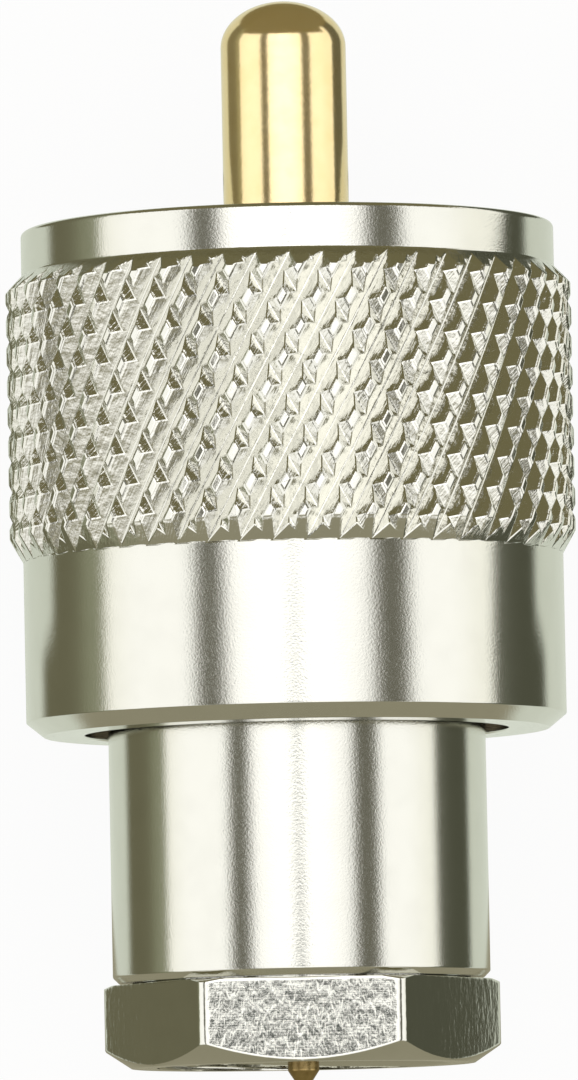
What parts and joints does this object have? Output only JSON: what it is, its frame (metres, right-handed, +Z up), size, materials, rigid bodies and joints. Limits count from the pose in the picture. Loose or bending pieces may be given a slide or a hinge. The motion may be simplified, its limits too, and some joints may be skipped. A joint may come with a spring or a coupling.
{
  "type": "uhf connector",
  "caption": "Coaxial adapter with a knurled coupling ring round a thick centre pin at one end and a captive hexagon nut round a thin pin at the other.",
  "frame": {"origin": "on the surface that the knurled ring lies on, under the middle of the length and width", "axes": "+Y along the axis towards the tip of the thick pin, +Z up from the surface it lies on, +X to the right"},
  "size_m": [0.018, 0.0344, 0.0181],
  "materials": {
    "ring_nickel": "nickel plated brass, bright",
    "shell_nickel": "nickel plated brass, bright",
    "nut_nickel": "nickel plated brass, lightly scratched",
    "pin_gold": "gold plated brass",
    "pin_brass": "bare brass",
    "clip_bronze": "phosphor bronze",
    "white_insulator": "white fluoropolymer, satin"
  },
  "bodies": {
    "adapter_body": {"front_shell": "shell_nickel", "rear_shell": "shell_nickel", "uhf_pin": "pin_gold", "front_insulator": "white_insulator", "rear_insulator": "white_insulator", "f_pin": "pin_brass", "f_post": "shell_nickel"},
    "clip": {"ring_clip": "clip_bronze"},
    "ring": {"coupling_ring": "ring_nickel"},
    "nut": {"hex_nut": "nut_nickel"}
  },
  "joints": [
    {"name": "ring_slide", "type": "slide", "parent": "adapter_body", "child": "clip", "axis": [0, 1, 0], "range_m": [0, 0.0025]},
    {"name": "ring_spin", "type": "hinge", "parent": "clip", "child": "ring", "pos_m": [0, -0.0048, 0.00903], "axis": [0, 1, 0], "continuous": true},
    {"name": "nut_spin", "type": "hinge", "parent": "adapter_body", "child": "nut", "pos_m": [0, -0.00975, 0.00903], "axis": [0, 1, 0], "continuous": true}
  ]
}
